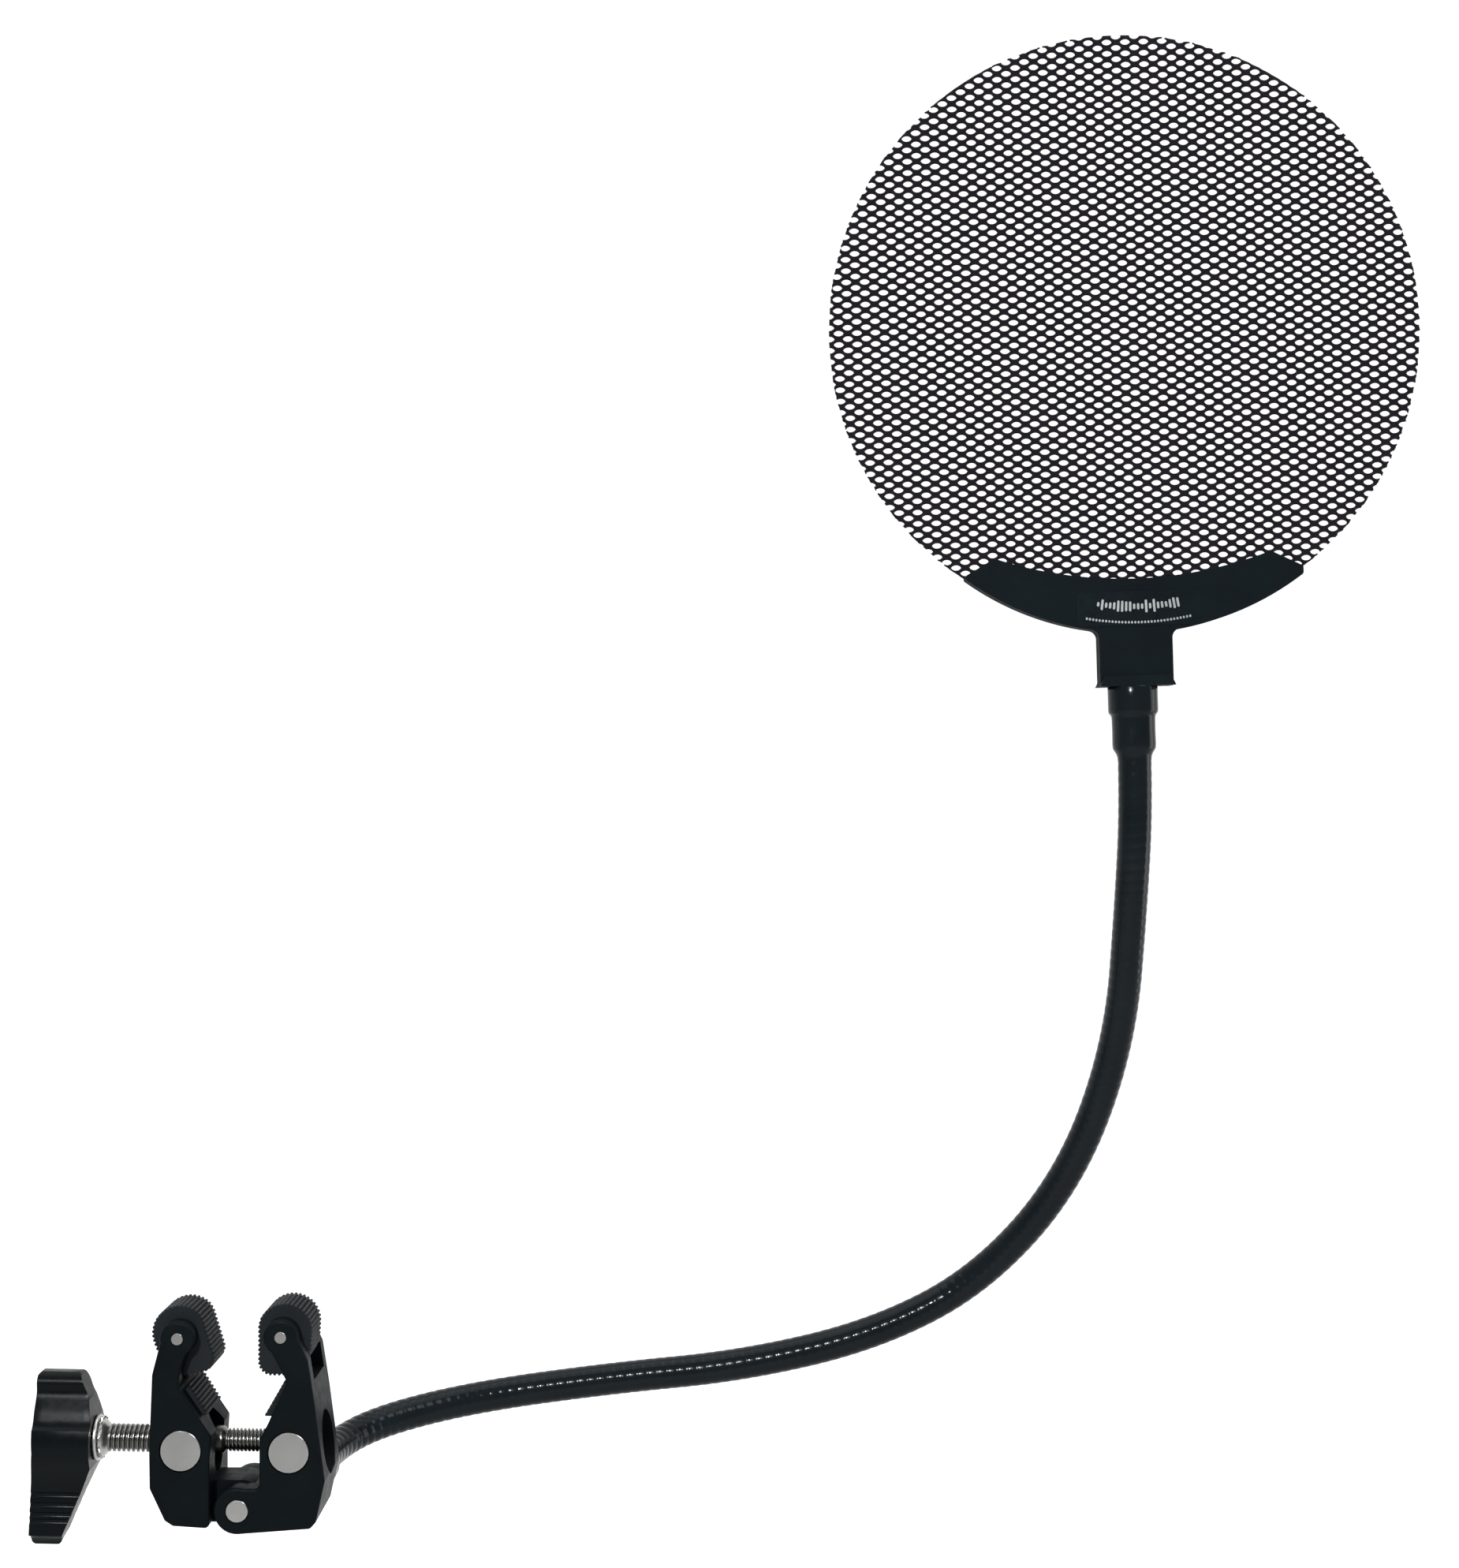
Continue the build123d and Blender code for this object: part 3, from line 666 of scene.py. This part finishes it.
# the sleeve's end, shrunk over the ferrule under the bracket
TAB_FOOT = HEAD_CENTRE + HEAD_X * NECK_SHIFT + HEAD_Y * TAB_BOTTOM
CUFF_PROFILE = [
    (0.0, 4.75), (0.0, 5.25), (0.25, 5.36), (2.4, 5.33), (5.0, 5.34), (5.6, 5.28), (6.0, 5.0),
    (6.3, 4.76), (7.0, 4.66), (9.5, 4.62), (12.4, 4.66), (13.3, 4.6), (13.8, 4.35), (14.4, 3.95),
    (15.1, 3.68), (15.9, 3.61), (15.9, 3.2), (13.4, 3.2), (13.4, 4.06), (6.4, 4.06), (5.6, 4.75),
]
cuff = turned("neck_sleeve_cuff", CUFF_PROFILE, TAB_FOOT, -HEAD_Y, HEAD_X, SLEEVE, hollow=True)
mark_sharp(cuff, degrees=55)
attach(cuff, "head")
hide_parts(f"gooseneck_sleeve_{BENDS + 1}")

# ---- the ribbed rubber pads ----

RIB_PITCH, RIB_DEPTH = 0.95, 0.42
# one rib as (share of the pitch, share of the depth)
RIB_SHAPE = [(0.0, 0.0), (0.34, 0.0), (0.5, 0.55), (0.67, 1.0), (0.84, 0.55)]
# how far each side of a point its outline's direction is read
TANGENT_STEP = 0.1
END_SOFTENING = 0.15
PAD_HALF_DEPTH, STRIP_HALF_DEPTH = 6.0, 7.0
PAD_BORE, BORE_SIDES = 1.41, 24
STRIP_STEPS = 8


def arc_points(a, middle, b, count):
    """Points on the arc from a through middle to b, without b."""
    a, middle, b = Vector(a), Vector(middle), Vector(b)
    d = 2 * (a.x * (middle.y - b.y) + middle.x * (b.y - a.y) + b.x * (a.y - middle.y))
    sa, sm, sb = a.length_squared, middle.length_squared, b.length_squared
    centre = Vector((
        (sa * (middle.y - b.y) + sm * (b.y - a.y) + sb * (a.y - middle.y)) / d,
        (sa * (b.x - middle.x) + sm * (a.x - b.x) + sb * (middle.x - a.x)) / d,
    ))
    start = a - centre
    turn = start.angle_signed(middle - centre) + (middle - centre).angle_signed(b - centre)
    return [centre + Matrix.Rotation(-turn * i / count, 2) @ start for i in range(count)]


def toothed(outline, ribbed_share):
    """The outline with ribs cut into its first share, as pairs of a point and the inward way."""
    closed = np.array([tuple(p) for p in outline] + [tuple(outline[0])])
    along = distances_along(closed)
    total = along[-1]
    middle = closed[:-1].mean(0)
    teeth = round(total / RIB_PITCH)

    def outline_at(distance):
        return columns_at(distance % total, along, closed)

    points = []
    for tooth in range(teeth):
        for phase, sink in RIB_SHAPE:
            share = (tooth + phase) / teeth
            place = outline_at(share * total)
            at = share * total
            chord = outline_at(at + TANGENT_STEP) - outline_at(at - TANGENT_STEP)
            tangent = chord / max(np.linalg.norm(chord), 1e-6)
            inward = np.array((-tangent[1], tangent[0]))
            if inward @ (middle - place) < 0:
                inward = -inward
            cut = RIB_DEPTH * sink if share <= ribbed_share else 0.0
            points.append((place + inward * cut, inward))
    return points


def extruded_pad(name, points, bore, half_depth, place):
    """A solid from -Y to +Y with softened ends, from an outline and a bore's radius or 0."""
    bm = bmesh.new()
    inner = half_depth - END_SOFTENING
    layers = [(-half_depth, END_SOFTENING), (-inner, 0), (inner, 0), (half_depth, END_SOFTENING)]
    bore_ring = [(bore * math.cos(a), bore * math.sin(a)) for a in around_axis(BORE_SIDES)]
    loops, bores = [], []
    for y, inset in layers:
        loops.append([bm.verts.new(place(*(p + way * inset), y) * MM) for p, way in points])
        if bore:
            bores.append([bm.verts.new(place(x, z, y) * MM) for x, z in bore_ring])
    for table in (loops, bores):
        for one, two in zip(table, table[1:]):
            for i in range(len(one)):
                after = (i + 1) % len(one)
                bm.faces.new((one[i], one[after], two[after], two[i]))
    for index in (0, -1):
        edges = []
        for ring in (table[index] for table in (loops, bores) if table):
            edges += [bm.edges.get((ring[i - 1], ring[i])) for i in range(len(ring))]
        bmesh.ops.triangle_fill(bm, edges=edges, use_beauty=True, use_dissolve=False)
    return object_from_bmesh(name, bm, RUBBER)


# the pad's outline about its pin: X towards the throat, Y up
PAD_OUTLINE = [Vector((5.3, 1.5)), Vector((5.3, -6.2))]
PAD_OUTLINE += arc_points((5.3, -6.2), (4.55, -7.8), (2.2, -8.7), 8)
PAD_OUTLINE += arc_points((-1.0, -8.7), (-4.35, -6.1), (-5.9, -2.5), 8)
PAD_OUTLINE += arc_points((-5.9, 0.0), (-0.2, 6.2), (4.95, 3.0), 20) + [Vector((4.95, 3.0))]

# side: the pin from the hinge, the way to the throat along X, the pad's turn in degrees
PADS = {"left": ((-12.3, 35.4), 1, 17.0), "right": ((8.96, 35.7), -1, 0.0)}
for side, (pin, way_in, turn_degrees) in PADS.items():
    turn = math.radians(turn_degrees)
    pad_x = Vector((way_in * math.cos(turn), 0, way_in * math.sin(turn)))
    pad_up = Vector((-math.sin(turn), 0, math.cos(turn)))
    centre = HINGE + Vector((pin[0], 0, pin[1]))

    def pad_place(x, z, y, centre=centre, pad_x=pad_x, pad_up=pad_up):
        return centre + pad_x * x + pad_up * z + Vector((0, y, 0))

    outline = toothed(PAD_OUTLINE, 1)
    pad = extruded_pad(f"ribbed_{side}_pad", outline, PAD_BORE, PAD_HALF_DEPTH, pad_place)
    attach(pad, f"{side}_pad")
    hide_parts(f"{side}_pad")


def strip_place(x, z, y):
    return HINGE + Vector((x, y, z))


# corners of the throat strips from the hinge, the ribbed side first
STRIPS = {
    "left": ((-10.3, 25.4), (-6.5, 19.3), (-7.6, 19.0), (-11.3, 24.4)),
    "right": ((9.2, 26.0), (5.1, 18.9), (6.7, 18.85), (9.75, 25.7)),
}
for side, corners in STRIPS.items():
    fine = []
    for a, b in zip(corners, corners[1:] + corners[:1]):
        fine += [Vector(a).lerp(Vector(b), i / STRIP_STEPS) for i in range(STRIP_STEPS)]
    face_length = (Vector(corners[1]) - Vector(corners[0])).length
    total = sum((b - a).length for a, b in zip(fine, fine[1:] + fine[:1]))
    outline = toothed(fine, face_length / total)
    strip = extruded_pad(f"ribbed_{side}_strip", outline, 0, STRIP_HALF_DEPTH, strip_place)
    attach(strip, f"{side}_jaw")
    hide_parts(f"{side}_throat_pad")

# ---- the clamp screw: two threads, the lock collar and the cone ----

# distances along the screw from the left trunnion
THREAD_START, SHOULDER_START, SHOULDER_END, TIP = -18.2, 5.3, 7.7, 27.2
CONE_FOOT, TOOTH_RING_AT = -17.8, -18.45
# how far the thin thread starts inside the shoulder
THREAD_OVERLAP = 0.2
# crest radius, root radius, pitch and hand of each thread
LEFT_THREAD, RIGHT_THREAD = (2.88, 2.28, 1.0, -1), (2.38, 1.88, 0.8, 1)
SHOULDER_PROFILE = [(-0.3, 2.2), (-0.1, 2.55), (0.25, 2.82), (1.7, 2.84), (2.0, 2.6), (2.4, 2.1)]
CONE_PROFILE = [
    (-11.5, 2.3), (-0.9, 2.3), (-0.9, 3.7), (-0.7, 3.9), (-0.25, 3.95), (0.1, 3.75), (0.5, 3.3),
    (0.9, 2.9), (1.2, 2.65), (1.5, 2.45),
]
SCREW_SIDE = Vector((0, 1, 0))
SCREW_UP = SCREW_DIR.cross(SCREW_SIDE)


def screw_point(along):
    return LEFT_TRUNNION + SCREW_DIR * along


def thread_shape(phase):
    """Share of the thread's depth at a phase of 0 to 1: flat crest, sloping flanks, round root."""
    return np.clip(0.65 + 0.65 * np.cos(2 * np.pi * phase), 0, 1)


def threaded_rod(name, start, end, crest, root, pitch, hand):
    per_pitch, sides = 16, 48
    rows = round((end - start) / pitch * per_pitch) + 1
    angles = around_axis(sides)
    side, up = np.array(SCREW_SIDE), np.array(SCREW_UP)
    around = np.cos(angles)[:, None] * side + np.sin(angles)[:, None] * up
    vertices = []
    for distance in np.linspace(start, end, rows):
        run_out = max(min(1.0, (distance - start) / pitch, (end - distance) / pitch), 0)
        shape = thread_shape(distance / pitch - hand * angles / (2 * np.pi))
        radius = root + (crest - root) * shape * run_out
        vertices.extend((np.array(screw_point(distance)) + around * radius[:, None]) * MM)
    faces = ring_faces(rows, sides)
    faces.append(tuple(range(sides))[::-1])
    faces.append(tuple(range((rows - 1) * sides, rows * sides)))
    obj = mesh_object(name, vertices, faces, CHROME)
    mark_sharp(obj, degrees=60)
    return obj


def tooth_ring():
    """A lock ring with twisted outside teeth, as thin as sheet steel."""
    teeth, inner, root, tip, thickness = 16, 2.9, 3.85, 4.4, 0.3
    # radius and twist of the four steps of each tooth
    tooth = [(root, 0.0), (tip, 0.22), (tip, -0.08), (root, 0.0)]
    count = teeth * len(tooth)
    bm = bmesh.new()

    def vertex(angle, radius, along):
        across = SCREW_SIDE * math.cos(angle) + SCREW_UP * math.sin(angle)
        return bm.verts.new((screw_point(TOOTH_RING_AT + along) + across * radius) * MM)

    loops = []
    for layer in (0, 1):
        lift = layer * thickness
        loop_in, loop_out = [], []
        for step, angle in enumerate(around_axis(count)):
            radius, twist = tooth[step % len(tooth)]
            loop_in.append(vertex(angle, inner, lift))
            loop_out.append(vertex(angle, radius, lift + twist))
        loops.append((loop_in, loop_out))
    (in0, out0), (in1, out1) = loops
    for step in range(count):
        after = (step + 1) % count
        bm.faces.new((in0[step], out0[step], out0[after], in0[after]))
        bm.faces.new((in1[after], out1[after], out1[step], in1[step]))
        bm.faces.new((out0[step], out1[step], out1[after], out0[after]))
        bm.faces.new((in0[after], in1[after], in1[step], in0[step]))
    return object_from_bmesh("screw_tooth_ring", bm, COLLAR)


left_thread = threaded_rod("screw_left_thread", THREAD_START, SHOULDER_START, *LEFT_THREAD)
right_thread = threaded_rod("screw_right_thread", SHOULDER_END - THREAD_OVERLAP, TIP, *RIGHT_THREAD)
shoulder = turned(
    "screw_shoulder", SHOULDER_PROFILE, screw_point(SHOULDER_START), SCREW_DIR, SCREW_SIDE, CHROME
)
cone = turned("screw_cone", CONE_PROFILE, screw_point(CONE_FOOT), SCREW_DIR, SCREW_SIDE, COLLAR)
mark_sharp(shoulder, degrees=35)
mark_sharp(cone, degrees=35)
for piece in (left_thread, right_thread, shoulder, cone, tooth_ring()):
    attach(piece, "screw")
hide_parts("clamp_screw")

# ---- softened edges on the pieces carried over from the CAD model ----

EDGE_WIDTHS = {
    "front_bracket": 0.35,
    "back_bracket": 0.35,
    "left_jaw": 0.25,
    "right_jaw": 0.25,
    "knob": 0.3,
    "collar_washer": 0.3,
    "hinge_pin": 0.3,
    "left_pad_pin": 0.3,
    "right_pad_pin": 0.3,
    "left_trunnion": 0.3,
    "right_trunnion": 0.3,
}
# CAD corners closer together than this are one corner; edges turned by more are rounded
WELD_GAP = 0.002
EDGE_SEGMENTS, EDGE_TURN = 3, 35
for node_name, width in EDGE_WIDTHS.items():
    node = frame["nodes"][node_name]
    weld = node.modifiers.new("weld", "WELD")
    weld.merge_threshold = WELD_GAP * MM
    bevel = node.modifiers.new("soft_edges", "BEVEL")
    bevel.width = width * MM
    bevel.segments = EDGE_SEGMENTS
    bevel.limit_method = "ANGLE"
    bevel.angle_limit = math.radians(EDGE_TURN)

# ---- the label's print: a plain row of level bars over a dotted line ----

# the film's face, in front of the screen's middle plane, and the print's own thickness
PRINT_FACE = 2.65
PRINT_ABOVE, PRINT_BELOW = 0.03, 0.01
ARC_CENTRE = Vector((0.8, -4.6))
CAP_STEPS = 6
BAR_COUNT, BARS_RADIUS, BARS_WIDTH, BAR_THICKNESS = 21, 54.9, 18.0, 0.5
DOT_COUNT, DOTS_RADIUS, DOTS_WIDTH, DOT_HEIGHT, DOT_THICKNESS = 33, 58.3, 23.0, 0.55, 0.42


def print_bars(name, radius, width, heights, thickness):
    """Bars along an arc of the bracket, each a thin raised film with rounded ends."""
    bm = bmesh.new()
    for index, height in enumerate(heights):
        angle = ((index + 0.5) / len(heights) - 0.5) * width / radius
        out = Vector((math.sin(angle), -math.cos(angle)))
        along = Vector((math.cos(angle), math.sin(angle)))
        centre = ARC_CENTRE + out * radius
        cap = min(thickness, height) / 2
        outline = []
        for end in (1, -1):
            for step in range(CAP_STEPS + 1):
                turn = math.pi * step / CAP_STEPS
                rise = height / 2 - cap + math.sin(turn) * cap
                outline.append(centre + along * (math.cos(turn) * cap * end) - out * (end * rise))
        front = [bm.verts.new(head_point(p.x, p.y, PRINT_FACE + PRINT_ABOVE)) for p in outline]
        back = [bm.verts.new(head_point(p.x, p.y, PRINT_FACE - PRINT_BELOW)) for p in outline]
        bm.faces.new(front)
        bm.faces.new(back[::-1])
        for step in range(len(outline)):
            after = (step + 1) % len(outline)
            bm.faces.new((front[after], front[step], back[step], back[after]))
    obj = object_from_bmesh(name, bm, INK)
    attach(obj, "head")


# uneven bar heights between 1 and 3 mm
levels = [1.0 + 2.0 * abs(math.sin(i * 1.7) * math.cos(i * 0.45 + 0.4)) for i in range(BAR_COUNT)]
print_bars("label_level_bars", BARS_RADIUS, BARS_WIDTH, levels, BAR_THICKNESS)
print_bars("label_dots", DOTS_RADIUS, DOTS_WIDTH, [DOT_HEIGHT] * DOT_COUNT, DOT_THICKNESS)
